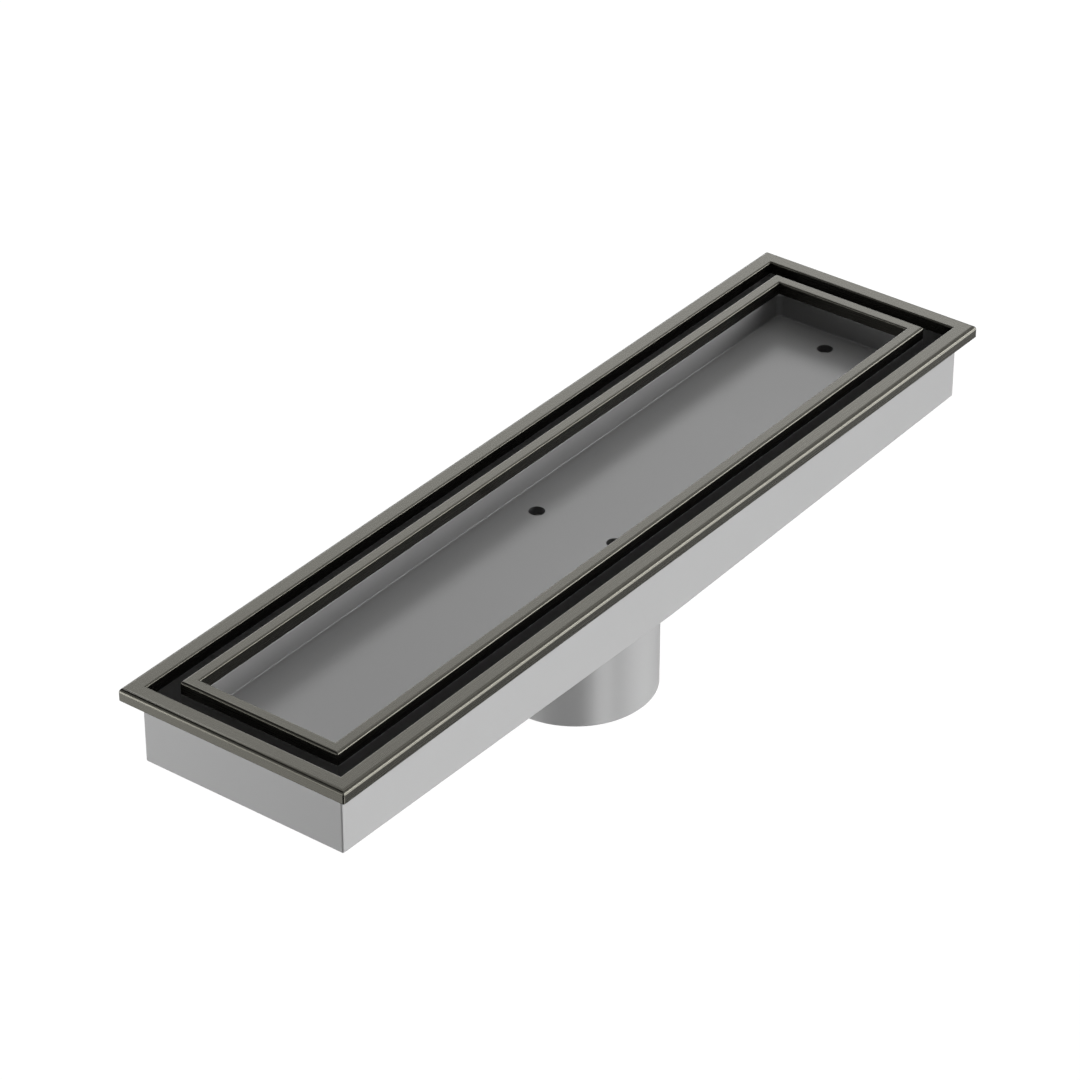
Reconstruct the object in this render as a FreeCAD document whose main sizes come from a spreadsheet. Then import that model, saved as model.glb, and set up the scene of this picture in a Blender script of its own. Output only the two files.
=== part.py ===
import FreeCAD, Part
import os
import Sketcher

# Linear shower drain with a tray that takes a tile.
# X runs along the drain, Y across it and Z up.
# The pieces are drawn with height zero at the frame's top face, which lies level with the
# finished floor, and are then raised so that the outlet's lower end stands at height zero.

# Driving dimensions, in millimetres
DIMENSIONS = {
    # Stainless frame round the rim: a ring of inverted U section
    "frame_length": 400.0,
    "frame_width": 103.0,
    "flange_width": 7.2,
    "lip_height": 5.2,
    "frame_metal": 1.5,
    "frame_edge_round": 0.8,
    # Moulded channel under the frame; its wall is flush with the frame's opening
    "body_wall": 1.3,
    "body_depth": 32.2,
    "body_edge_round": 0.8,
    "floor_thickness": 2.0,
    # Floor drops 1 mm in this length, from both ends to the middle
    "fall_run": 50.0,
    # Moulded rim: a shelf that carries the frame, with a tongue inside the frame's section
    "shelf_thickness": 2.0,
    "shelf_root_round": 1.2,
    "tongue_thickness": 2.5,
    "bond_gap": 0.2,
    # Outlet spigot
    "outlet_diameter": 65.5,
    "outlet_wall": 2.5,
    "outlet_drop": 84.2,
    "outlet_root_round": 1.0,
    "outlet_chamfer": 0.8,
    # Slot between the frame and the tray
    "slot_gap": 8.2,
    # Stainless trim on the tray: a ring of inverted U section, a little proud of the frame
    "tray_rise": 1.0,
    "trim_width": 5.2,
    "trim_height": 5.4,
    "trim_metal": 1.2,
    "trim_edge_round": 0.8,
    "trim_foot_round": 0.3,
    # Moulded tray
    "recess_depth": 15.2,
    "tray_floor_thickness": 3.5,
    "tray_corner_round": 1.0,
    "shoulder_round": 0.4,
    "recess_corner_round": 2.5,
    "recess_floor_round": 0.5,
    # Weep holes: a pair across the middle, and one near each end of the recess
    "weep_hole_diameter": 6.5,
    "middle_hole_spacing": 37.0,
    "end_hole_inset": 11.4,
    # Two ribs along the tray's underside, legs of crossed ribs that reach the falling floor,
    # and lugs from the legs, which keep the slot even as the ends of the long ribs do
    "rib_thickness": 2.5,
    "rib_depth": 6.0,
    "rib_end_clearance": 0.4,
    "leg_span": 9.0,
    "leg_inset": 8.5,
    "leg_rows": 4,
}

# Sizes that follow from the driving ones, as expressions on the sheet
OPENING_LENGTH = "(Sizes.frame_length - 2 * Sizes.flange_width)"
OPENING_WIDTH = "(Sizes.frame_width - 2 * Sizes.flange_width)"
BODY_LENGTH = f"({OPENING_LENGTH} + 2 * Sizes.body_wall)"
BODY_WIDTH = f"({OPENING_WIDTH} + 2 * Sizes.body_wall)"
RIM_SPREAD = "(2 * (Sizes.frame_metal + Sizes.bond_gap + Sizes.tongue_thickness))"
RIM_LENGTH = f"({OPENING_LENGTH} + {RIM_SPREAD})"
RIM_WIDTH = f"({OPENING_WIDTH} + {RIM_SPREAD})"
VALLEY_DEPTH = f"(Sizes.body_depth + {BODY_LENGTH} / 2 / Sizes.fall_run)"
FLOOR_VALLEY_DEPTH = f"({VALLEY_DEPTH} - Sizes.floor_thickness)"
TRAY_LENGTH = f"({OPENING_LENGTH} - 2 * Sizes.slot_gap)"
TRAY_WIDTH = f"({OPENING_WIDTH} - 2 * Sizes.slot_gap)"
RECESS_LENGTH = f"({TRAY_LENGTH} - 2 * Sizes.trim_width)"
RECESS_WIDTH = f"({TRAY_WIDTH} - 2 * Sizes.trim_width)"
SHOULDER_DEPTH = "(Sizes.trim_height - Sizes.tray_rise)"
TRAY_FLOOR_DEPTH = "(Sizes.recess_depth - Sizes.tray_rise)"
TRAY_UNDERSIDE_DEPTH = f"({TRAY_FLOOR_DEPTH} + Sizes.tray_floor_thickness)"
RIB_LENGTH = f"({OPENING_LENGTH} - 2 * Sizes.rib_end_clearance)"
RIB_WIDTH = f"({OPENING_WIDTH} - 2 * Sizes.rib_end_clearance)"
LEG_REACH = f"({TRAY_LENGTH} / 2 - Sizes.leg_inset)"
LEG_SPREAD = f"({TRAY_WIDTH} - 2 * Sizes.leg_inset)"
LUG_REACH = f"(({LEG_SPREAD} + {RIB_WIDTH}) / 4)"
LUG_LENGTH = f"(({RIB_WIDTH} - {LEG_SPREAD}) / 2)"

# Two positions nearer than this are the same
TOLERANCE = 0.001

doc = FreeCAD.newDocument("linear_shower_drain")
sheet = doc.addObject("Spreadsheet::Sheet", "Sizes")
for row, (alias, value) in enumerate(DIMENSIONS.items(), start=1):
    sheet.set(f"A{row}", alias)
    sheet.set(f"B{row}", str(value))
    sheet.setAlias(f"B{row}", alias)
doc.recompute()


def number(expression):
    """Present value of an expression on the sheet."""
    return float(sheet.evalExpression(expression))


# Sketches

def origin_plane(body, role):
    """The body's own plane of that role, such as XY_Plane."""
    return next(item for item in body.Origin.OriginFeatures if item.Role == role)


def new_sketch(body, name, role="XY_Plane", height="0", shift_x="0", shift_y="0"):
    """Empty sketch on one of the body's own planes, moved from it by the given amounts."""
    sketch = body.newObject("Sketcher::SketchObject", name)
    sketch.AttachmentSupport = [(origin_plane(body, role), "")]
    sketch.MapMode = "FlatFace"
    sketch.setExpression("AttachmentOffset.Base.x", shift_x)
    sketch.setExpression("AttachmentOffset.Base.y", shift_y)
    sketch.setExpression("AttachmentOffset.Base.z", height)
    return sketch


def add_dimension(sketch, name, kind, points, expression):
    """Dimension between two sketch points, named and bound to the sheet."""
    sketch.addConstraint(Sketcher.Constraint(kind, *points, number(expression)))
    sketch.renameConstraint(sketch.ConstraintCount - 1, name)
    sketch.setExpression(f"Constraints.{name}", expression)


def add_outline(sketch, corners):
    """Closed outline through the corners. Returns the index of its first line."""
    first = sketch.GeometryCount
    points = [FreeCAD.Vector(x, y, 0) for x, y in corners]
    for start, end in zip(points, points[1:] + points[:1]):
        sketch.addGeometry(Part.LineSegment(start, end), False)
    for step in range(len(points)):
        following = first + (step + 1) % len(points)
        sketch.addConstraint(Sketcher.Constraint("Coincident", first + step, 2, following, 1))
    return first


def add_rectangle(sketch, name, length, width):
    """Rectangle centred on the origin."""
    half_x = number(length) / 2
    half_y = number(width) / 2
    corners = [(-half_x, -half_y), (half_x, -half_y), (half_x, half_y), (-half_x, half_y)]
    first = add_outline(sketch, corners)
    for line in (first, first + 2):
        sketch.addConstraint(Sketcher.Constraint("Horizontal", line))
    for line in (first + 1, first + 3):
        sketch.addConstraint(Sketcher.Constraint("Vertical", line))
    sketch.addConstraint(Sketcher.Constraint("Symmetric", first, 1, first + 2, 1, -1, 1))
    add_dimension(sketch, f"{name}_length", "DistanceX", (first, 1, first, 2), length)
    add_dimension(sketch, f"{name}_width", "DistanceY", (first + 1, 1, first + 1, 2), width)


def add_circle(sketch, name, diameter, centre_x=0.0, centre_y=0.0):
    """Circle near the given centre. Returns its index; the caller ties the centre."""
    centre = FreeCAD.Vector(centre_x, centre_y, 0)
    upward = FreeCAD.Vector(0, 0, 1)
    circle = sketch.addGeometry(Part.Circle(centre, upward, number(diameter) / 2), False)
    sketch.addConstraint(Sketcher.Constraint("Diameter", circle, number(diameter)))
    sketch.renameConstraint(sketch.ConstraintCount - 1, f"{name}_diameter")
    sketch.setExpression(f"Constraints.{name}_diameter", diameter)
    return circle


def add_circle_pair(sketch, name, axis, diameter, reach):
    """Two equal circles on the sketch's X or Y axis, the same distance from its origin."""
    along = number(reach)
    place = (along, 0.0) if axis == "X" else (0.0, along)
    first = add_circle(sketch, f"{name}_first", diameter, *place)
    second = add_circle(sketch, f"{name}_second", diameter, -place[0], -place[1])
    axis_line = -1 if axis == "X" else -2
    sketch.addConstraint(Sketcher.Constraint("PointOnObject", first, 3, axis_line))
    sketch.addConstraint(Sketcher.Constraint("Symmetric", first, 3, second, 3, -1, 1))
    add_dimension(sketch, f"{name}_reach", f"Distance{axis}", (-1, 1, first, 3), reach)


def add_rectangle_pair(sketch, name, length, width, reach):
    """Two equal rectangles, centred at that reach on both sides of the sketch's X axis."""
    half_x = number(length) / 2
    low_y = number(reach) - number(width) / 2
    high_y = number(reach) + number(width) / 2
    corners = [(-half_x, low_y), (half_x, low_y), (half_x, high_y), (-half_x, high_y)]
    first = add_outline(sketch, corners)
    second = add_outline(sketch, [(-x, -y) for x, y in corners])
    for line in (first + 2, second, second + 2):
        sketch.addConstraint(Sketcher.Constraint("Horizontal", line))
    for line in (first + 1, first + 3, second + 1, second + 3):
        sketch.addConstraint(Sketcher.Constraint("Vertical", line))
    sketch.addConstraint(Sketcher.Constraint("Symmetric", first, 1, first, 2, -2))
    sketch.addConstraint(Sketcher.Constraint("Symmetric", first, 1, second, 1, -1, 1))
    sketch.addConstraint(Sketcher.Constraint("Symmetric", first + 2, 1, second + 2, 1, -1, 1))
    add_dimension(sketch, f"{name}_length", "DistanceX", (first, 1, first, 2), length)
    add_dimension(sketch, f"{name}_width", "DistanceY", (first + 1, 1, first + 1, 2), width)
    add_dimension(sketch, f"{name}_inner_reach", "DistanceY", (-1, 1, first, 1),
                  f"{reach} - {width} / 2")


def add_fall_outline(sketch, length, valley_depth, closing_depth):
    """Outline seen from the side: a shallow V that falls to the middle, closed level."""
    half = number(length) / 2
    valley = -number(valley_depth)
    end_depth = f"({valley_depth} - {length} / 2 / Sizes.fall_run)"
    end = -number(end_depth)
    closing = -number(closing_depth)
    corners = [(0, valley), (half, end), (half, closing), (-half, closing), (-half, end)]
    first = add_outline(sketch, corners)
    sketch.addConstraint(Sketcher.Constraint("PointOnObject", first, 1, -2))
    sketch.addConstraint(Sketcher.Constraint("Vertical", first + 1))
    sketch.addConstraint(Sketcher.Constraint("Horizontal", first + 2))
    sketch.addConstraint(Sketcher.Constraint("Vertical", first + 3))
    sketch.addConstraint(Sketcher.Constraint("Symmetric", first, 2, first + 4, 1, -2))
    add_dimension(sketch, "half_length", "DistanceX", (-1, 1, first, 2), f"{length} / 2")
    add_dimension(sketch, "valley_depth", "DistanceY", (first, 1, -1, 1), valley_depth)
    add_dimension(sketch, "end_depth", "DistanceY", (first, 2, -1, 1), end_depth)
    add_dimension(sketch, "closing_depth", "DistanceY", (first + 2, 1, -1, 1), closing_depth)


# Features

def add_pad(body, name, sketch, length, reverse=False, symmetric=False):
    """Solid from a sketch, along the sketch's normal or against it."""
    pad = body.newObject("PartDesign::Pad", name)
    pad.Profile = sketch
    pad.Reversed = reverse
    pad.SideType = "Symmetric" if symmetric else "One side"
    pad.setExpression("Length", length)
    doc.recompute()
    return pad


def add_pocket(body, name, sketch, depth=None, reverse=False, symmetric=False):
    """Cut against the sketch's normal, or along it if reversed; right through with no depth."""
    volume_before = body.Shape.Volume
    pocket = body.newObject("PartDesign::Pocket", name)
    pocket.Profile = sketch
    pocket.Reversed = reverse
    pocket.SideType = "Symmetric" if symmetric else "One side"
    if depth is None:
        pocket.Type = "ThroughAll"
    else:
        pocket.setExpression("Length", depth)
    doc.recompute()
    if body.Shape.Volume > volume_before - TOLERANCE:
        raise RuntimeError(f"{name} cuts nothing")
    return pocket


def dress_edges(body, kind, name, size_property, size, chosen):
    """Fillet or chamfer on the edges of the body that the test chooses."""
    base = body.Tip
    edges = enumerate(base.Shape.Edges, start=1)
    names = [f"Edge{index}" for index, edge in edges if not edge.Degenerated and chosen(edge)]
    if not names:
        raise RuntimeError(f"{name} finds no edge")
    feature = body.newObject(kind, name)
    feature.Base = (base, names)
    feature.setExpression(size_property, size)
    doc.recompute()
    if "Invalid" in feature.State or feature.Shape.isNull():
        raise RuntimeError(f"{name} can't be made")


def round_edges(body, name, radius, chosen):
    dress_edges(body, "PartDesign::Fillet", name, "Radius", radius, chosen)


def chamfer_edges(body, name, size, chosen):
    dress_edges(body, "PartDesign::Chamfer", name, "Size", size, chosen)


# Tests that choose edges

def points_along(edge):
    return edge.discretize(Number=9)


def span(edge):
    """Box round points along the edge, which is exact for the straight and level ones."""
    box = FreeCAD.BoundBox()
    for point in points_along(edge):
        box.add(point)
    return box


def is_upright(edge):
    box = span(edge)
    return box.XLength < TOLERANCE and box.YLength < TOLERANCE


def is_level_at(edge, depth):
    """The edge lies in the level plane at that depth below the frame's top."""
    box = span(edge)
    height = -number(depth)
    return abs(box.ZMin - height) < TOLERANCE and abs(box.ZMax - height) < TOLERANCE


def is_below(edge, depth):
    return span(edge).ZMax < TOLERANCE - number(depth)


def on_outline(edge, length, width):
    """The edge lies in one of the four upright faces round a centred rectangle."""
    box = span(edge)
    off_end = abs(abs(box.Center.x) - number(length) / 2)
    off_side = abs(abs(box.Center.y) - number(width) / 2)
    on_end = off_end < TOLERANCE and box.XLength < TOLERANCE
    on_side = off_side < TOLERANCE and box.YLength < TOLERANCE
    return on_end or on_side


def round_about_outlet(edge):
    """The edge runs round the outlet on its outer wall."""
    radius = number("Sizes.outlet_diameter / 2")
    on_wall = all(abs(point.cross(FreeCAD.Vector(0, 0, 1)).Length - radius) < TOLERANCE
                  for point in points_along(edge))
    return on_wall and not is_upright(edge)


def new_piece(label):
    """Body of one piece, raised so that the outlet's end stands at height zero."""
    body = doc.addObject("PartDesign::Body", label)
    body.Label = label
    body.setExpression("Placement.Base.z", "Sizes.outlet_drop")
    return body


# Metal rings

def add_ring_section(body, length, width, rim, height, metal, top_depth):
    """Ring of inverted U section, with its groove open below."""
    bottom = f"-({top_depth} + {height})"
    inner_length = f"({length} - 2 * {rim})"
    inner_width = f"({width} - 2 * {rim})"

    plan = new_sketch(body, "plan", height=bottom)
    add_rectangle(plan, "outer", length, width)
    add_rectangle(plan, "inner", inner_length, inner_width)
    add_pad(body, "ring", plan, height)

    groove_plan = new_sketch(body, "groove_plan", height=bottom)
    add_rectangle(groove_plan, "outer", f"({length} - 2 * {metal})", f"({width} - 2 * {metal})")
    add_rectangle(groove_plan, "inner", f"({inner_length} + 2 * {metal})",
                  f"({inner_width} + 2 * {metal})")
    add_pocket(body, "groove", groove_plan, f"{height} - {metal}", reverse=True)


def make_outer_frame():
    """Mitred and welded frame: level top, and an outer lip that hides the channel's rim."""
    body = new_piece("outer_frame")
    length = "Sizes.frame_length"
    width = "Sizes.frame_width"
    add_ring_section(body, length, width, "Sizes.flange_width", "Sizes.lip_height",
                     "Sizes.frame_metal", "0")

    def outer_or_top(edge):
        return on_outline(edge, length, width) or (
            is_level_at(edge, "0") and on_outline(edge, OPENING_LENGTH, OPENING_WIDTH))

    round_edges(body, "rounded_edges", "Sizes.frame_edge_round", outer_or_top)
    return body


def make_tray_trim():
    """Mitred and welded trim that caps the tray's rim, flush with it inside and out."""
    body = new_piece("tray_trim")
    add_ring_section(body, TRAY_LENGTH, TRAY_WIDTH, "Sizes.trim_width", "Sizes.trim_height",
                     "Sizes.trim_metal", "-Sizes.tray_rise")

    def top_or_corner(edge):
        outer = on_outline(edge, TRAY_LENGTH, TRAY_WIDTH)
        inner = on_outline(edge, RECESS_LENGTH, RECESS_WIDTH)
        top = is_level_at(edge, "-Sizes.tray_rise")
        return (top and (outer or inner)) or (outer and is_upright(edge))

    def outer_foot(edge):
        foot = is_level_at(edge, SHOULDER_DEPTH)
        return foot and on_outline(edge, TRAY_LENGTH, TRAY_WIDTH)

    round_edges(body, "rounded_edges", "Sizes.trim_edge_round", top_or_corner)
    round_edges(body, "foot_edges", "Sizes.trim_foot_round", outer_foot)
    return body


# Moulded channel

def make_channel_body():
    """Thin-walled moulding: falling floor, outlet spigot, and a rim that carries the frame."""
    body = new_piece("channel_body")

    side_profile = new_sketch(body, "side_profile", "XZ_Plane")
    add_fall_outline(side_profile, BODY_LENGTH, VALLEY_DEPTH, "Sizes.lip_height")
    add_pad(body, "block", side_profile, BODY_WIDTH, symmetric=True)

    shelf_plan = new_sketch(body, "shelf_plan",
                            height="-(Sizes.lip_height + Sizes.shelf_thickness)")
    add_rectangle(shelf_plan, "shelf", RIM_LENGTH, RIM_WIDTH)
    add_pad(body, "shelf", shelf_plan, "Sizes.shelf_thickness")

    tongue_plan = new_sketch(body, "tongue_plan", height="-Sizes.lip_height")
    add_rectangle(tongue_plan, "outer", RIM_LENGTH, RIM_WIDTH)
    add_rectangle(tongue_plan, "inner", f"({RIM_LENGTH} - 2 * Sizes.tongue_thickness)",
                  f"({RIM_WIDTH} - 2 * Sizes.tongue_thickness)")
    tongue_height = "Sizes.lip_height - Sizes.frame_metal - Sizes.bond_gap"
    add_pad(body, "tongue", tongue_plan, tongue_height)

    # Turned, so that the seam of the spigot's wall meets the underside in its valley
    outlet_plan = new_sketch(body, "outlet_plan", height="-Sizes.outlet_drop")
    outlet_plan.setExpression("AttachmentOffset.Rotation.Angle", "90")
    spigot = add_circle(outlet_plan, "outlet", "Sizes.outlet_diameter")
    outlet_plan.addConstraint(Sketcher.Constraint("Coincident", spigot, 3, -1, 1))
    add_pad(body, "spigot", outlet_plan, f"Sizes.outlet_drop - {FLOOR_VALLEY_DEPTH}")

    def spigot_root(edge):
        return round_about_outlet(edge) and not is_level_at(edge, "Sizes.outlet_drop")

    round_edges(body, "spigot_root", "Sizes.outlet_root_round", spigot_root)

    hollow_profile = new_sketch(body, "hollow_profile", "XZ_Plane")
    add_fall_outline(hollow_profile, OPENING_LENGTH, FLOOR_VALLEY_DEPTH, "Sizes.lip_height")
    add_pocket(body, "hollow", hollow_profile, OPENING_WIDTH, symmetric=True)

    def underside_or_corner(edge):
        shell = is_below(edge, "Sizes.lip_height + Sizes.shelf_thickness")
        upright = is_upright(edge)
        underside = is_below(edge, "Sizes.body_depth")
        return shell and on_outline(edge, BODY_LENGTH, BODY_WIDTH) and (upright or underside)

    def shelf_root(edge):
        return (is_level_at(edge, "Sizes.lip_height + Sizes.shelf_thickness")
                and on_outline(edge, BODY_LENGTH, BODY_WIDTH))

    def inside_corner(edge):
        inside = on_outline(edge, OPENING_LENGTH, OPENING_WIDTH)
        floor = is_below(edge, "Sizes.body_depth - Sizes.floor_thickness")
        return inside and (is_upright(edge) or floor)

    def spigot_end(edge):
        return round_about_outlet(edge) and is_level_at(edge, "Sizes.outlet_drop")

    round_edges(body, "outer_edges", "Sizes.body_edge_round", underside_or_corner)
    round_edges(body, "shelf_roots", "Sizes.shelf_root_round", shelf_root)
    round_edges(body, "inner_edges", "Sizes.body_edge_round", inside_corner)
    chamfer_edges(body, "spigot_end", "Sizes.outlet_chamfer", spigot_end)

    bore_plan = new_sketch(body, "bore_plan", height="-Sizes.outlet_drop")
    bore = add_circle(bore_plan, "bore", "(Sizes.outlet_diameter - 2 * Sizes.outlet_wall)")
    bore_plan.addConstraint(Sketcher.Constraint("Coincident", bore, 3, -1, 1))
    add_pocket(body, "bore", bore_plan, reverse=True)
    return body


# Moulded tray

def add_weep_holes(body):
    """Four holes through the tray's floor: two across the middle, one near each end."""
    plan = new_sketch(body, "weep_hole_plan", height=f"-{TRAY_FLOOR_DEPTH}")
    end_reach = f"({RECESS_LENGTH} / 2 - Sizes.end_hole_inset)"
    add_circle_pair(plan, "end_holes", "X", "Sizes.weep_hole_diameter", end_reach)
    add_circle_pair(plan, "middle_holes", "Y", "Sizes.weep_hole_diameter",
                    "Sizes.middle_hole_spacing / 2")
    add_pocket(body, "weep_holes", plan)


def add_ribs_and_legs(body):
    """Ribs along the underside, and cross-shaped legs with lugs, cut off at the falling floor."""
    underside = f"-{TRAY_UNDERSIDE_DEPTH}"
    floor_reach = f"({FLOOR_VALLEY_DEPTH} - {TRAY_UNDERSIDE_DEPTH})"

    long_plan = new_sketch(body, "long_rib_plan", height=underside)
    add_rectangle_pair(long_plan, "ribs", RIB_LENGTH, "Sizes.rib_thickness", f"{LEG_SPREAD} / 2")
    add_pad(body, "long_ribs", long_plan, "Sizes.rib_depth", reverse=True)

    lug_plan = new_sketch(body, "lug_plan", height=underside, shift_x=f"-{LEG_REACH}")
    add_rectangle_pair(lug_plan, "lugs", "Sizes.rib_thickness", LUG_LENGTH, LUG_REACH)
    row = [add_pad(body, "lugs", lug_plan, "Sizes.rib_depth", reverse=True)]

    arms = {
        "lengthwise_arms": ("Sizes.leg_span", "Sizes.rib_thickness"),
        "crosswise_arms": ("Sizes.rib_thickness", "Sizes.leg_span"),
    }
    for name, (length, width) in arms.items():
        arm_plan = new_sketch(body, f"{name}_plan", height=underside, shift_x=f"-{LEG_REACH}")
        add_rectangle_pair(arm_plan, "arms", length, width, f"{LEG_SPREAD} / 2")
        row.append(add_pad(body, name, arm_plan, floor_reach, reverse=True))

    rows = body.newObject("PartDesign::LinearPattern", "leg_rows")
    rows.Originals = row
    rows.Direction = (origin_plane(body, "X_Axis"), [""])
    rows.setExpression("Length", f"2 * {LEG_REACH}")
    rows.setExpression("Occurrences", "Sizes.leg_rows")
    body.Tip = rows
    doc.recompute()

    fall_profile = new_sketch(body, "fall_profile", "XZ_Plane")
    add_fall_outline(fall_profile, OPENING_LENGTH, FLOOR_VALLEY_DEPTH, VALLEY_DEPTH)
    add_pocket(body, "leg_ends", fall_profile, OPENING_WIDTH, symmetric=True)


def make_tile_tray():
    """Moulded tray: recess for the tile, shoulder and tongue for the trim, ribs and legs."""
    body = new_piece("tile_tray")

    outline = new_sketch(body, "outline", height=f"-{TRAY_UNDERSIDE_DEPTH}")
    add_rectangle(outline, "tray", TRAY_LENGTH, TRAY_WIDTH)
    add_pad(body, "block", outline, f"{TRAY_UNDERSIDE_DEPTH} - {SHOULDER_DEPTH}")

    tongue_inset = "(2 * (Sizes.trim_metal + Sizes.bond_gap))"
    tongue_plan = new_sketch(body, "tongue_plan", height=f"-{SHOULDER_DEPTH}")
    add_rectangle(tongue_plan, "outer", f"({TRAY_LENGTH} - {tongue_inset})",
                  f"({TRAY_WIDTH} - {tongue_inset})")
    add_rectangle(tongue_plan, "inner", f"({RECESS_LENGTH} + {tongue_inset})",
                  f"({RECESS_WIDTH} + {tongue_inset})")
    tongue_height = "Sizes.trim_height - Sizes.trim_metal - Sizes.bond_gap"
    add_pad(body, "tongue", tongue_plan, tongue_height)

    recess_plan = new_sketch(body, "recess_plan", height=f"-{SHOULDER_DEPTH}")
    add_rectangle(recess_plan, "recess", RECESS_LENGTH, RECESS_WIDTH)
    add_pocket(body, "recess", recess_plan, f"{TRAY_FLOOR_DEPTH} - {SHOULDER_DEPTH}")

    def recess_corner(edge):
        return is_upright(edge) and on_outline(edge, RECESS_LENGTH, RECESS_WIDTH)

    def recess_floor(edge):
        floor = is_level_at(edge, TRAY_FLOOR_DEPTH)
        return floor and on_outline(edge, RECESS_LENGTH, RECESS_WIDTH)

    def underside_or_corner(edge):
        underside = is_level_at(edge, TRAY_UNDERSIDE_DEPTH)
        return on_outline(edge, TRAY_LENGTH, TRAY_WIDTH) and (underside or is_upright(edge))

    def shoulder(edge):
        outer = on_outline(edge, TRAY_LENGTH, TRAY_WIDTH)
        inner = on_outline(edge, RECESS_LENGTH, RECESS_WIDTH)
        return is_level_at(edge, SHOULDER_DEPTH) and (outer or inner)

    round_edges(body, "recess_corners", "Sizes.recess_corner_round", recess_corner)
    round_edges(body, "recess_floor", "Sizes.recess_floor_round", recess_floor)
    round_edges(body, "outer_edges", "Sizes.tray_corner_round", underside_or_corner)
    round_edges(body, "shoulders", "Sizes.shoulder_round", shoulder)
    add_weep_holes(body)
    add_ribs_and_legs(body)
    return body


PIECES = [make_channel_body(), make_outer_frame(), make_tile_tray(), make_tray_trim()]
doc.recompute()

# Nothing is written unless every object and every piece is sound
for item in doc.Objects:
    if "Invalid" in item.State or "Error" in item.State:
        raise RuntimeError(f"{item.Name} is {item.State}")
for piece in PIECES:
    if piece.Shape.isNull() or not piece.Shape.isValid() or len(piece.Shape.Solids) != 1:
        raise RuntimeError(f"{piece.Label} is not one sound solid")

os.makedirs("parts", exist_ok=True)
for piece in PIECES:
    piece.Shape.exportStep(f"parts/{piece.Label}.step")
    print(f"{piece.Label}: {piece.Shape.Volume:.0f} cubic mm")
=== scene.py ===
import math

import bmesh
import bpy
from mathutils import Matrix, Vector


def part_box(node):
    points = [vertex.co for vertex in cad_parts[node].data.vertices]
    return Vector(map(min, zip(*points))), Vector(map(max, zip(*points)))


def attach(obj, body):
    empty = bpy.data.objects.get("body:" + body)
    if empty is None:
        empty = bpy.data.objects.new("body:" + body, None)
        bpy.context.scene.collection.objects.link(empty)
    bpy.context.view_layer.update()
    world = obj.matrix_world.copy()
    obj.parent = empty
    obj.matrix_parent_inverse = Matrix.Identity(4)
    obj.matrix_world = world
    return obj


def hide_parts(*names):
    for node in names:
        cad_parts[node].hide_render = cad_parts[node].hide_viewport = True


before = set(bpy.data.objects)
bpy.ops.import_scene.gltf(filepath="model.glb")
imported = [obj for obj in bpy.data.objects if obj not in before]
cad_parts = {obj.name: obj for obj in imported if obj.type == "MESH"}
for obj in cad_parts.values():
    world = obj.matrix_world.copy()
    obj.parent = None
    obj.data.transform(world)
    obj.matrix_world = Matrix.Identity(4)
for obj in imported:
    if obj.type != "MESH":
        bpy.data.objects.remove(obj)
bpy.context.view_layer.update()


# Outer frame
# The real frame is a ring of folded stainless steel, mitred and welded at the corners,
# brushed along each side and coated gunmetal. It is bonded over the channel's moulded rim.

MM = 0.001
FRAME_RIM = 7.2 * MM
FRAME_METAL = 1.5 * MM
FRAME_OUTER_ROUND = 1.8 * MM
FRAME_ROUND = 0.8 * MM
FRAME_FOOT_ROUND = 0.3 * MM

# Steps round a rounded edge, and how near two points of the ring lie when they are one
ARC_STEPS = 8
SAME_POINT = 0.0005 * MM

# Faces turned by less than the first angle lie in one flat, by less than the second in one
# curve. Flats count by their area squared, in millimetres, and a face's own normal by this
FLAT_ANGLE = math.radians(0.3)
SHARP_ANGLE = math.radians(35)
OWN_WEIGHT = 1e-6

# The coat's darker and lighter tone, and how much of its change comes from the brushing
GUNMETAL_DARK = (0.0600, 0.0582, 0.0497, 1.0)
GUNMETAL_LIGHT = (0.0692, 0.0672, 0.0574, 1.0)
BRUSHED_SHARE = 0.55


def feed(tree, socket, value):
    """Feed an input from another node's output, or set it to a plain value."""
    if isinstance(value, bpy.types.NodeSocket):
        tree.links.new(value, socket)
    else:
        socket.default_value = value


def add_node(tree, kind, values=None, **settings):
    """New node of a tree, with its settings, and its inputs fed by name or number."""
    made = tree.nodes.new(kind)
    for name, value in settings.items():
        setattr(made, name, value)
    for name, value in (values or {}).items():
        feed(tree, made.inputs[name], value)
    return made


def calc(tree, operation, *values):
    """Result of one sum, with sockets or numbers as its terms."""
    terms = dict(enumerate(values))
    return add_node(tree, "ShaderNodeMath", terms, operation=operation).outputs[0]


def rounded_section(corners):
    """Points round a closed square-cornered section, whose corners are (across, up, radius)."""
    points = []
    for here, (across, up, radius) in enumerate(corners):
        corner = Vector((across, up))
        before = (Vector(corners[here - 1][:2]) - corner).normalized()
        after = (Vector(corners[(here + 1) % len(corners)][:2]) - corner).normalized()
        if radius == 0:
            points.append(corner)
            continue
        middle = corner + (before + after) * radius
        for step in range(ARC_STEPS + 1):
            turn = math.radians(90) * step / ARC_STEPS
            spoke = after * math.cos(turn) + before * math.sin(turn)
            points.append(middle - spoke * radius)
    return points


def channel_section(rim, metal, low, top, outer_round, inner_round, foot_round):
    """Inverted U section: across it from the ring's outer face, and up from the floor."""
    return rounded_section([
        (metal, top - metal, 0),
        (metal, low, 0),
        (0, low, foot_round),
        (0, top, outer_round),
        (rim, top, inner_round),
        (rim, low, 0),
        (rim - metal, low, 0),
        (rim - metal, top - metal, 0),
    ])


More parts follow.
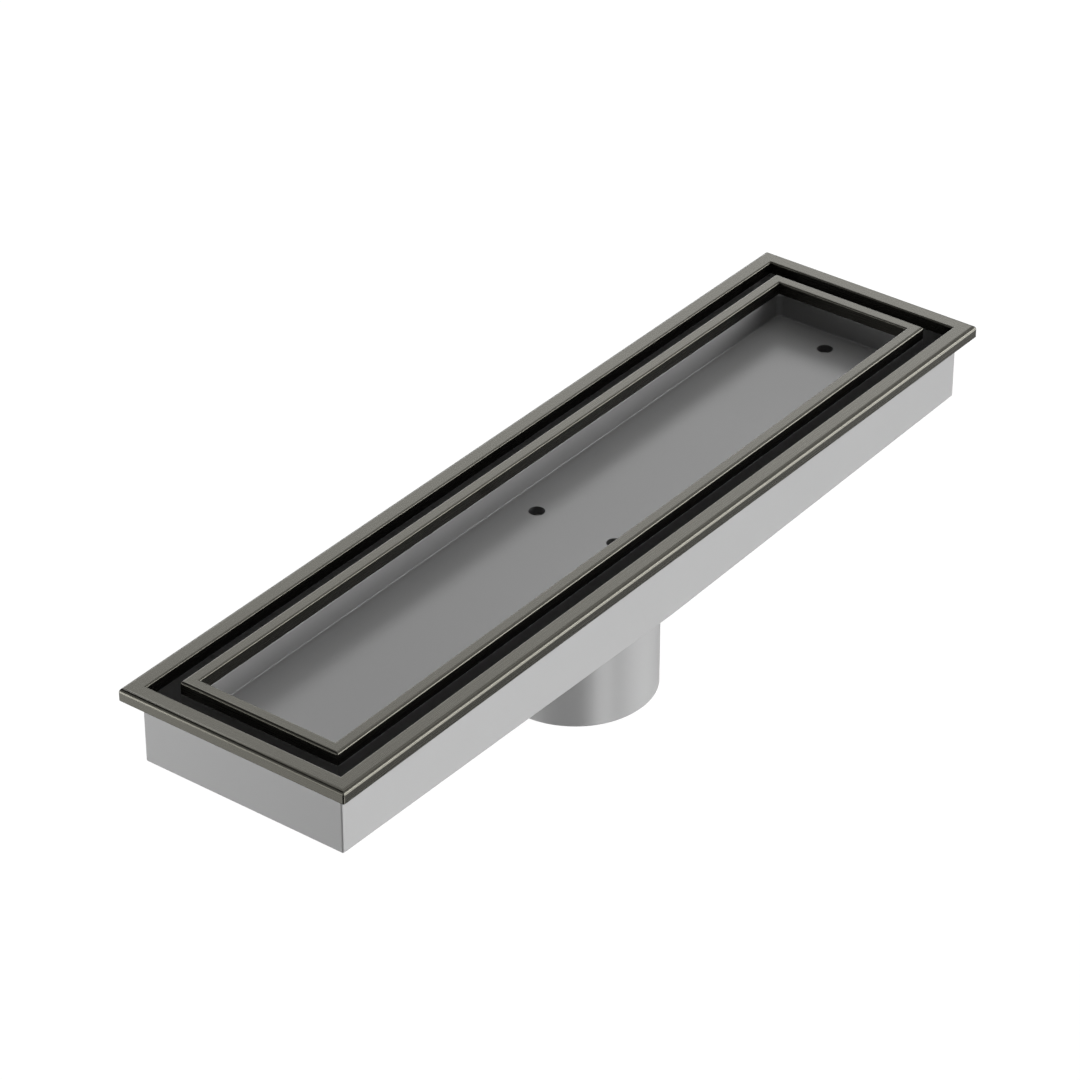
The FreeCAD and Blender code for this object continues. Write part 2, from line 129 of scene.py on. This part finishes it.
def build_ring_tree():
    """Geometry nodes that sweep a section round a rectangle with mitred corners. The section
    lies in X, measured inwards from the ring's outer face, and Z."""
    tree = bpy.data.node_groups.new("mitred_ring", "GeometryNodeTree")
    sockets = tree.interface
    sockets.new_socket("Section", in_out="INPUT", socket_type="NodeSocketGeometry")
    for name in ("Length", "Width", "Corner Round", "Section Points"):
        sockets.new_socket(name, in_out="INPUT", socket_type="NodeSocketFloat")
    sockets.new_socket("Metal", in_out="INPUT", socket_type="NodeSocketMaterial")
    sockets.new_socket("Ring", in_out="OUTPUT", socket_type="NodeSocketGeometry")
    given = add_node(tree, "NodeGroupInput").outputs
    length, width, corner_round, rows = (
        given[name] for name in ("Length", "Width", "Corner Round", "Section Points"))

    # A sheet of quads, one row for each point of the section and one column for each turn
    per_corner = ARC_STEPS + 1
    columns = 4 * per_corner
    sheet = add_node(tree, "GeometryNodeMeshGrid", {
        "Vertices X": calc(tree, "ADD", rows, 1.0),
        "Vertices Y": columns + 1,
    })
    index = add_node(tree, "GeometryNodeInputIndex").outputs[0]
    turns = calc(tree, "FLOOR", calc(tree, "DIVIDE", index, columns + 1.0))
    row = calc(tree, "MODULO", turns, rows)
    column = calc(tree, "MODULO", calc(tree, "MODULO", index, columns + 1.0), float(columns))

    # Place of the sheet's point: across and up from the section, round the corner by its column
    place = add_node(tree, "GeometryNodeInputPosition").outputs[0]
    taken = add_node(tree, "GeometryNodeSampleIndex", data_type="FLOAT_VECTOR", domain="POINT")
    feed(tree, taken.inputs["Geometry"], given["Section"])
    feed(tree, taken.inputs["Value"], place)
    feed(tree, taken.inputs["Index"], row)
    section = add_node(tree, "ShaderNodeSeparateXYZ", {0: taken.outputs[0]}).outputs
    corner = calc(tree, "FLOOR", calc(tree, "DIVIDE", column, float(per_corner)))
    step = calc(tree, "MODULO", column, float(per_corner))
    quarters = calc(tree, "ADD", corner, calc(tree, "DIVIDE", step, float(ARC_STEPS)))
    turn = calc(tree, "MULTIPLY", quarters, math.pi / 2)
    diagonal = calc(tree, "MULTIPLY", calc(tree, "ADD", corner, 0.5), math.pi / 2)
    inset = calc(tree, "MAXIMUM", corner_round, section["X"])
    radius = calc(tree, "MAXIMUM", calc(tree, "SUBTRACT", corner_round, section["X"]), 0.0)
    spots = []
    for size, wave in ((length, "COSINE"), (width, "SINE")):
        reach = calc(tree, "SUBTRACT", calc(tree, "DIVIDE", size, 2.0), inset)
        side = calc(tree, "SIGN", calc(tree, wave, diagonal))
        curve = calc(tree, "MULTIPLY", radius, calc(tree, wave, turn))
        spots.append(calc(tree, "ADD", calc(tree, "MULTIPLY", reach, side), curve))
    spot = add_node(tree, "ShaderNodeCombineXYZ", {0: spots[0], 1: spots[1], 2: section["Z"]})
    bent = add_node(tree, "GeometryNodeSetPosition", {
        "Geometry": sheet.outputs["Mesh"],
        "Position": spot.outputs[0],
    })

    # Brushing runs along each side as far as its mitres: stored as a map, along and across
    at = add_node(tree, "ShaderNodeSeparateXYZ", {0: place}).outputs
    face_spot = add_node(tree, "GeometryNodeFieldOnDomain", data_type="FLOAT_VECTOR", domain="FACE")
    feed(tree, face_spot.inputs[0], place)
    face_at = add_node(tree, "ShaderNodeSeparateXYZ", {0: face_spot.outputs[0]}).outputs
    from_edge = []
    for size, axis in ((length, "X"), (width, "Y")):
        half = calc(tree, "DIVIDE", size, 2.0)
        from_edge.append(calc(tree, "SUBTRACT", half, calc(tree, "ABSOLUTE", face_at[axis])))
    on_end = calc(tree, "LESS_THAN", *from_edge)
    on_side = calc(tree, "SUBTRACT", 1.0, on_end)
    offset = calc(tree, "SUBTRACT", at["Y"], at["X"])
    along = calc(tree, "ADD", at["X"], calc(tree, "MULTIPLY", on_end, offset))
    depth_x = calc(tree, "MULTIPLY", calc(tree, "ABSOLUTE", at["X"]), on_end)
    depth_y = calc(tree, "MULTIPLY", calc(tree, "ABSOLUTE", at["Y"]), on_side)
    across = calc(tree, "SUBTRACT", calc(tree, "ADD", depth_x, depth_y), at["Z"])
    brush = add_node(tree, "ShaderNodeCombineXYZ", {0: along, 1: across})
    mapped = add_node(tree, "GeometryNodeStoreNamedAttribute", {
        "Geometry": bent.outputs[0],
        "Name": "brushing",
    }, data_type="FLOAT2", domain="CORNER")
    feed(tree, mapped.inputs["Value"], brush.outputs[0])

    # Points that meet are joined
    joined = add_node(tree, "GeometryNodeMergeByDistance", {
        "Geometry": mapped.outputs[0],
        "Distance": SAME_POINT,
    })
    real = add_node(tree, "GeometryNodeRealizeInstances", {"Geometry": joined.outputs[0]})
    finished = add_node(tree, "GeometryNodeSetMaterial", {
        "Geometry": real.outputs[0],
        "Material": given["Metal"],
    })
    add_node(tree, "NodeGroupOutput", {"Ring": finished.outputs[0]})
    return tree


def make_ring(name, node, tree, section, corner_round, metal):
    """Ring that stands for a node of the frame, as long and as wide as that node."""
    low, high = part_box(node)
    mesh = bpy.data.meshes.new(name)
    count = len(section)
    loop = [(point, (point + 1) % count) for point in range(count)]
    mesh.from_pydata([(across, 0, up) for across, up in section], loop, [])
    mesh.materials.append(metal)
    ring = bpy.data.objects.new(name, mesh)
    bpy.context.scene.collection.objects.link(ring)
    modifier = ring.modifiers.new("ring", "NODES")
    modifier.node_group = tree
    sizes = {
        "Length": high.x - low.x,
        "Width": high.y - low.y,
        "Corner Round": corner_round,
        "Section Points": float(count),
        "Metal": metal,
    }
    for item in tree.interface.items_tree:
        if item.in_out == "INPUT" and item.name in sizes:
            modifier[item.identifier] = sizes[item.name]
    view = bpy.context.evaluated_depsgraph_get()
    ready = ring.evaluated_get(view)
    made = bpy.data.meshes.new_from_object(ready, preserve_all_data_layers=True, depsgraph=view)
    ring.modifiers.clear()
    ring.data = made
    face_outwards(made)
    settle_shading(made)
    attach(ring, "root")
    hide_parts(node)


def face_outwards(mesh):
    """Turn a closed mesh inside out if its faces point inwards."""
    shell = bmesh.new()
    shell.from_mesh(mesh)
    if shell.calc_volume(signed=True) < 0:
        bmesh.ops.reverse_faces(shell, faces=shell.faces)
        shell.to_mesh(mesh)
    shell.free()


def settle_shading(mesh):
    """Shade rounded edges smoothly and keep the flats beside them flat. A face's corner takes
    the normals of the faces round it that turn little from its own, wide flats before all."""
    shell = bmesh.new()
    shell.from_mesh(mesh)
    shell.faces.ensure_lookup_table()
    flat_area = [0.0] * len(shell.faces)
    for face in shell.faces:
        if flat_area[face.index]:
            continue
        flat, reached = [face], {face.index}
        for member in flat:
            for neighbour in (other for edge in member.edges for other in edge.link_faces):
                level = member.normal.dot(neighbour.normal) > math.cos(FLAT_ANGLE)
                if level and neighbour.index not in reached:
                    flat.append(neighbour)
                    reached.add(neighbour.index)
        area = sum(member.calc_area() for member in flat) / MM ** 2
        for member in flat:
            flat_area[member.index] = area
    normals = []
    for face in shell.faces:
        face.smooth = True
        for corner in face.loops:
            total = face.normal * OWN_WEIGHT
            for other in corner.vert.link_faces:
                if face.normal.dot(other.normal) > math.cos(SHARP_ANGLE):
                    total += other.normal * flat_area[other.index] ** 2
            normals.append(total.normalized())
    shell.to_mesh(mesh)
    shell.free()
    mesh.normals_split_custom_set(normals)


def start_material(name, **sockets):
    """New material. Returns it, its tree and its surface shader with the given sockets set."""
    material = bpy.data.materials.new(name)
    material.use_nodes = True
    tree = material.node_tree
    surface = tree.nodes["Principled BSDF"]
    for socket, value in sockets.items():
        surface.inputs[socket.replace("_", " ")].default_value = value
    return material, tree, surface


def make_gunmetal():
    """Brushed steel under a thin gunmetal coat: fine lines along each side, in the coat's
    colour, roughness and relief, over slow clouds from the coating bath."""
    material, tree, surface = start_material("brushed_gunmetal", Metallic=1.0)
    brushing = add_node(tree, "ShaderNodeUVMap", uv_map="brushing").outputs[0]
    lines = add_node(tree, "ShaderNodeMapping", {"Vector": brushing, "Scale": (40.0, 5200.0, 1.0)})
    grain = add_node(tree, "ShaderNodeTexNoise", {
        "Vector": lines.outputs[0],
        "Scale": 1.0,
        "Detail": 3.0,
        "Roughness": 0.6,
    }).outputs["Fac"]
    where = add_node(tree, "ShaderNodeTexCoord").outputs["Object"]
    clouds = add_node(tree, "ShaderNodeTexNoise", {
        "Vector": where,
        "Scale": 22.0,
        "Detail": 2.0,
    }).outputs["Fac"]
    from_brush = calc(tree, "MULTIPLY", grain, BRUSHED_SHARE)
    from_bath = calc(tree, "MULTIPLY", clouds, 1 - BRUSHED_SHARE)
    shade = calc(tree, "ADD", from_brush, from_bath)
    coat = add_node(tree, "ShaderNodeMix", {0: shade}, data_type="RGBA")
    feed(tree, coat.inputs[6], GUNMETAL_DARK)
    feed(tree, coat.inputs[7], GUNMETAL_LIGHT)
    feed(tree, surface.inputs["Base Color"], coat.outputs[2])
    rough = add_node(tree, "ShaderNodeMapRange", {"Value": grain, "To Min": 0.24, "To Max": 0.30})
    feed(tree, surface.inputs["Roughness"], rough.outputs[0])
    relief = add_node(tree, "ShaderNodeBump", {
        "Height": grain,
        "Strength": 0.07,
        "Distance": 0.01 * MM,
    })
    feed(tree, surface.inputs["Normal"], relief.outputs[0])
    return material


gunmetal = make_gunmetal()
ring_tree = build_ring_tree()
frame_low, frame_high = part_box("outer_frame")
frame_section = channel_section(
    FRAME_RIM, FRAME_METAL, frame_low.z, frame_high.z,
    FRAME_OUTER_ROUND, FRAME_ROUND, FRAME_FOOT_ROUND)
make_ring("frame_ring", "outer_frame", ring_tree, frame_section, FRAME_ROUND, gunmetal)


# Tray trim
# A lighter ring of the same steel, mitred and welded like the frame, that caps the tray's
# rim. It stands a millimetre proud of the frame and is bonded over the tray's tongue.

TRIM_RIM = 5.2 * MM
TRIM_METAL = 1.2 * MM
TRIM_OUTER_ROUND = 1.2 * MM
TRIM_ROUND = 0.8 * MM
TRIM_FOOT_ROUND = 0.3 * MM

trim_low, trim_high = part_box("tray_trim")
trim_section = channel_section(
    TRIM_RIM, TRIM_METAL, trim_low.z, trim_high.z,
    TRIM_OUTER_ROUND, TRIM_ROUND, TRIM_FOOT_ROUND)
make_ring("trim_ring", "tray_trim", ring_tree, trim_section, TRIM_ROUND, gunmetal)


# Channel body
# One injection moulding in light grey plastic: thin walls flush with the frame's opening, a
# floor that falls to the middle, and the outlet spigot. Its faces are satin from the mould.

LIGHT_GREY_DARK = (0.312, 0.312, 0.313, 1.0)
LIGHT_GREY_LIGHT = (0.328, 0.328, 0.329, 1.0)
LIGHT_GREY_ROUGHNESS = 0.36
ROUGHNESS_SWING = 0.04

# The outlet's circles, as far out as its outer wall, and the cuts that each of their flats gets
OUTLET_REACH = 34.0 * MM
OUTLET_CUTS = 3

# A circle's flats have both ends at one radius, and turn by more than the first angle and less
# than the second. An upright face's normal rises by less than the last value
SAME_RADIUS = 0.005 * MM
LEAST_TURN = math.radians(1)
MOST_TURN = math.radians(57)
UPRIGHT = 0.01

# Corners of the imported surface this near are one, and edges this short are taken out
JOINED = 0.001 * MM
SHORTEST = 0.0001 * MM


def round_off(shell, middle, reach, cuts):
    """Divide the flats of every circle round an upright axis into more, out to a distance
    from it, and put the new points on the circle."""
    def radius(vert):
        return (vert.co.xy - middle).length

    def heading(vert):
        return math.atan2(vert.co.y - middle.y, vert.co.x - middle.x)

    def is_chord(edge):
        near, far = (radius(vert) for vert in edge.verts)
        turn = math.remainder(heading(edge.verts[0]) - heading(edge.verts[1]), math.tau)
        level = near < reach and abs(near - far) < SAME_RADIUS
        return level and LEAST_TURN < abs(turn) < MOST_TURN

    def is_slant(edge):
        faces = edge.link_faces
        longest = [max(face.edges, key=lambda side: side.calc_length()) for face in faces]
        on_wall = is_chord(edge) and all(abs(face.normal.z) < UPRIGHT for face in faces)
        return on_wall and longest == [edge, edge]

    slants = [edge for edge in shell.edges if is_slant(edge)]
    bmesh.ops.dissolve_edges(shell, edges=slants, use_verts=False)
    chords = [edge for edge in shell.edges if is_chord(edge)]
    for size in sorted({round(radius(edge.verts[0]) / MM, 2) for edge in chords}):
        circle = [edge for edge in shell.edges
                  if is_chord(edge) and round(radius(edge.verts[0]) / MM, 2) == size]
        divided = bmesh.ops.subdivide_edges(shell, edges=circle, cuts=cuts, use_grid_fill=True)
        for vert in divided["geom_inner"]:
            if isinstance(vert, bmesh.types.BMVert):
                out = vert.co.xy - middle
                vert.co.xy = middle + out.normalized() * size * MM


def moulded_shell(name, node, plastic, circles):
    """Piece that stands for a moulded node: its own surface, with finer circles."""
    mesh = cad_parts[node].data.copy()
    mesh.name = name
    shell = bmesh.new()
    shell.from_mesh(mesh)
    bmesh.ops.remove_doubles(shell, verts=shell.verts, dist=JOINED)
    bmesh.ops.dissolve_degenerate(shell, edges=shell.edges, dist=SHORTEST)
    for middle, reach, cuts in circles:
        round_off(shell, middle, reach, cuts)
    bmesh.ops.triangulate(shell, faces=shell.faces)
    shell.to_mesh(mesh)
    shell.free()
    settle_shading(mesh)
    mesh.materials.clear()
    mesh.materials.append(plastic)
    piece = bpy.data.objects.new(name, mesh)
    bpy.context.scene.collection.objects.link(piece)
    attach(piece, "root")
    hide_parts(node)


def make_moulded_plastic(name, dark, light, roughness):
    """Satin mould finish: a fine even grain in the relief, with slow changes of tone and
    gloss where the melt flowed."""
    material, tree, surface = start_material(name, IOR=1.5)
    where = add_node(tree, "ShaderNodeTexCoord").outputs["Object"]
    flow = add_node(tree, "ShaderNodeTexNoise", {
        "Vector": where,
        "Scale": 14.0,
        "Detail": 3.0,
        "Distortion": 0.4,
    }).outputs["Fac"]
    grain = add_node(tree, "ShaderNodeTexNoise", {
        "Vector": where,
        "Scale": 2600.0,
        "Detail": 2.0,
    }).outputs["Fac"]
    tone = add_node(tree, "ShaderNodeMix", data_type="RGBA")
    feed(tree, tone.inputs[0], flow)
    feed(tree, tone.inputs[6], dark)
    feed(tree, tone.inputs[7], light)
    feed(tree, surface.inputs["Base Color"], tone.outputs[2])
    gloss = add_node(tree, "ShaderNodeMapRange", {
        "Value": flow,
        "To Min": roughness - ROUGHNESS_SWING,
        "To Max": roughness + ROUGHNESS_SWING,
    })
    feed(tree, surface.inputs["Roughness"], gloss.outputs[0])
    relief = add_node(tree, "ShaderNodeBump", {
        "Height": grain,
        "Strength": 0.08,
        "Distance": 0.02 * MM,
    })
    feed(tree, surface.inputs["Normal"], relief.outputs[0])
    return material


light_plastic = make_moulded_plastic(
    "light_plastic", LIGHT_GREY_DARK, LIGHT_GREY_LIGHT, LIGHT_GREY_ROUGHNESS)
outlet = (Vector((0, 0)), OUTLET_REACH, OUTLET_CUTS)
moulded_shell("channel_shell", "channel_body", light_plastic, [outlet])


# Tile tray
# One moulding in darker grey plastic: a recess that a cut tile is bedded into, four weep
# holes through its floor, and long ribs and cross-shaped legs that stand in the channel.

MID_GREY_DARK = (0.278, 0.278, 0.279, 1.0)
MID_GREY_LIGHT = (0.294, 0.294, 0.295, 1.0)
MID_GREY_ROUGHNESS = 0.33

# The weep holes' middles in millimetres, how far out their circles lie, and the cuts of a flat
WEEP_HOLES = ((0, 18.5), (0, -18.5), (168, 0), (-168, 0))
WEEP_REACH = 3.4 * MM
WEEP_CUTS = 2

grey_plastic = make_moulded_plastic(
    "grey_plastic", MID_GREY_DARK, MID_GREY_LIGHT, MID_GREY_ROUGHNESS)
weep_holes = [(Vector(middle) * MM, WEEP_REACH, WEEP_CUTS) for middle in WEEP_HOLES]
moulded_shell("tray_shell", "tile_tray", grey_plastic, weep_holes)


# Studio
# The drain stands on its outlet on a plain white table. Soft panels light it: bright ones low
# to the right, dimmer ones behind, to the left and from below, and a weak one overhead.

CAMERA_PLACE = Vector((-1.10663, -0.82667, 0.95390))
CAMERA_LOOK = Vector((0.66854, 0.50965, -0.54158))
CAMERA_LENS = 144.31
CAMERA_SENSOR = 36.0

camera_data = bpy.data.cameras.new("camera")
camera_data.lens = CAMERA_LENS
camera_data.sensor_width = CAMERA_SENSOR
camera_data.clip_start = 0.05
camera_data.clip_end = 40.0
camera = bpy.data.objects.new("camera", camera_data)
camera.location = CAMERA_PLACE
camera.rotation_mode = "QUATERNION"
camera.rotation_quaternion = CAMERA_LOOK.to_track_quat("-Z", "Y")
bpy.context.scene.collection.objects.link(camera)
bpy.context.scene.camera = camera


FLOOR_REACH = 12.0
BLACK = (0.0, 0.0, 0.0, 1.0)
WHITE = (1.0, 1.0, 1.0, 1.0)


def make_floor():
    """White table under the drain. It glows evenly to the camera, so it shows no shadow, and
    leaves the light on the drain to the panels round it."""
    mesh = bpy.data.meshes.new("floor")
    signs = ((-1, -1), (1, -1), (1, 1), (-1, 1))
    corners = [(x * FLOOR_REACH, y * FLOOR_REACH, 0) for x, y in signs]
    mesh.from_pydata(corners, [], [(0, 1, 2, 3)])
    floor = bpy.data.objects.new("floor", mesh)
    bpy.context.scene.collection.objects.link(floor)
    material, _, surface = start_material("white_table", Roughness=0.9)
    surface.inputs["Base Color"].default_value = BLACK
    surface.inputs["Emission Color"].default_value = WHITE
    surface.inputs["Emission Strength"].default_value = 1.0
    mesh.materials.append(material)
    floor.visible_diffuse = False
    floor.visible_glossy = False
    floor.visible_shadow = False


# Each soft panel: its middle and half its spread, in degrees round from the drain's length
# and up from the horizon, and how bright it is beside the white table. Its edges fade over the
# blur's angle
PANELS = (
    ("right_under", 308, 24, -14, 6, 8.9),
    ("right_low", 308, 24, -2, 6, 1.6),
    ("right_middle", 308, 24, 10, 6, 13.5),
    ("right_dip", 308, 24, -26, 6, 1.0),
    ("right_below", 299, 29, -42, 10, 0.5),
    ("right_far_below", 299, 29, -64, 12, 6.6),
    ("left", 140, 30, 0, 8, 4.1),
    ("left_below", 138, 30, -32, 12, 2.1),
    ("back_low", 37, 24, 8, 6, 4.0),
    ("back", 37, 26, 28, 6, 3.7),
    ("back_upper", 37, 26, 40, 6, 1.0),
    ("back_high", 37, 36, 56, 10, 1.2),
    ("right_high", 350, 18, 50, 12, 1.8),
    ("overhead", 0, 180, 80, 12, 1.0),
)
PANEL_BLUR = 7.0

# Panels in the same form that only the gloss shows, for the metal as it looks from other sides
GLOSS_PANELS = (
    ("left_gloss", 140, 40, 28, 10, 0.8),
    ("far_side_gloss", 82, 18, 12, 14, 1.2),
    ("end_gloss", 190, 18, 2, 10, 1.4),
    ("front_gloss", 217, 36, 28, 10, 1.6),
    ("front_side_gloss", 256, 20, 0, 12, 1.4),
    ("right_gloss", 304, 40, 32, 8, 1.2),
    ("far_end_gloss", 352, 16, 6, 12, 1.4),
)


def make_studio():
    """World with soft-edged panels of light in it, and white wherever the camera sees it."""
    world = bpy.data.worlds.new("studio")
    world.use_nodes = True
    bpy.context.scene.world = world
    tree = world.node_tree
    backdrop = tree.nodes["Background"]
    towards = add_node(tree, "ShaderNodeTexCoord").outputs["Generated"]
    way = add_node(tree, "ShaderNodeSeparateXYZ", {0: towards}).outputs
    degrees = 180 / math.pi
    round_by = calc(tree, "MULTIPLY", calc(tree, "ARCTAN2", way["Y"], way["X"]), degrees)
    up_by = calc(tree, "MULTIPLY", calc(tree, "ARCSINE", way["Z"]), degrees)
    path = add_node(tree, "ShaderNodeLightPath").outputs
    light = 0.0
    for seen, panels in ((1.0, PANELS), (path["Is Glossy Ray"], GLOSS_PANELS)):
        for name, middle, spread, height, rise, brightness in panels:
            turned = calc(tree, "SUBTRACT", round_by, float(middle))
            aside = calc(tree, "WRAP", turned, 180.0, -180.0)
            above = calc(tree, "SUBTRACT", up_by, float(height))
            glow = calc(tree, "MULTIPLY", seen, brightness)
            for offset, half in ((aside, spread), (above, rise)):
                edge = add_node(tree, "ShaderNodeMapRange", {
                    "Value": calc(tree, "ABSOLUTE", offset),
                    "From Min": half + PANEL_BLUR / 2,
                    "From Max": half - PANEL_BLUR / 2,
                }, interpolation_type="SMOOTHSTEP", label=name)
                glow = calc(tree, "MULTIPLY", edge.outputs["Result"], glow)
            light = calc(tree, "ADD", glow, light)
    strength = calc(tree, "MAXIMUM", path["Is Camera Ray"], light)
    feed(tree, backdrop.inputs["Strength"], strength)
    backdrop.inputs["Color"].default_value = WHITE


# Each round lamp near the drain: its place and the point of the drain's axis that it faces, in
# metres, and how bright its face is
LAMPS = (
    ("left_lamp", (-0.50, 0.38, 0.0), -0.15, 8.4),
    ("right_lamp", (-0.15, -0.45, -0.30), -0.15, 6.9),
)
LAMP_WIDTH = 0.25
LAMP_AIM = 65.0 * MM


def add_lamps():
    """Soft round lamps low beside the drain, whose light fades along its walls."""
    for name, place, aim, brightness in LAMPS:
        data = bpy.data.lights.new(name, "AREA")
        data.shape = "DISK"
        data.size = LAMP_WIDTH
        data.energy = brightness * (math.pi * LAMP_WIDTH / 2) ** 2
        lamp = bpy.data.objects.new(name, data)
        lamp.location = place
        lamp.rotation_mode = "QUATERNION"
        away = lamp.location - Vector((aim, 0.0, LAMP_AIM))
        lamp.rotation_quaternion = away.to_track_quat("Z", "Y")
        lamp.visible_camera = False
        bpy.context.scene.collection.objects.link(lamp)


STAND_RADIUS = 30.1 * MM
STAND_LIFT = 0.1 * MM
STAND_SIDES = 64


def add_outlet_stand():
    """Black disc on the table inside the outlet: it keeps light from shining up into it, and its
    black is painted shade where the glowing table would show in the bore.
    """
    stand = bpy.data.meshes.new("outlet_stand")
    shape = bmesh.new()
    bmesh.ops.create_circle(shape, cap_ends=True, radius=STAND_RADIUS, segments=STAND_SIDES)
    shape.to_mesh(stand)
    shape.free()
    stand.transform(Matrix.Translation((0, 0, STAND_LIFT)))
    # Plain black, as painted shade in the outlet's bore in place of the glowing table
    material, _, surface = start_material("painted_shade_stand", Roughness=1.0)
    surface.inputs["Base Color"].default_value = BLACK
    stand.materials.append(material)
    disc = bpy.data.objects.new("outlet_stand", stand)
    bpy.context.scene.collection.objects.link(disc)


make_floor()
make_studio()
add_lamps()
add_outlet_stand()

bpy.context.scene.view_settings.view_transform = "Standard"
bpy.context.scene.view_settings.look = "None"
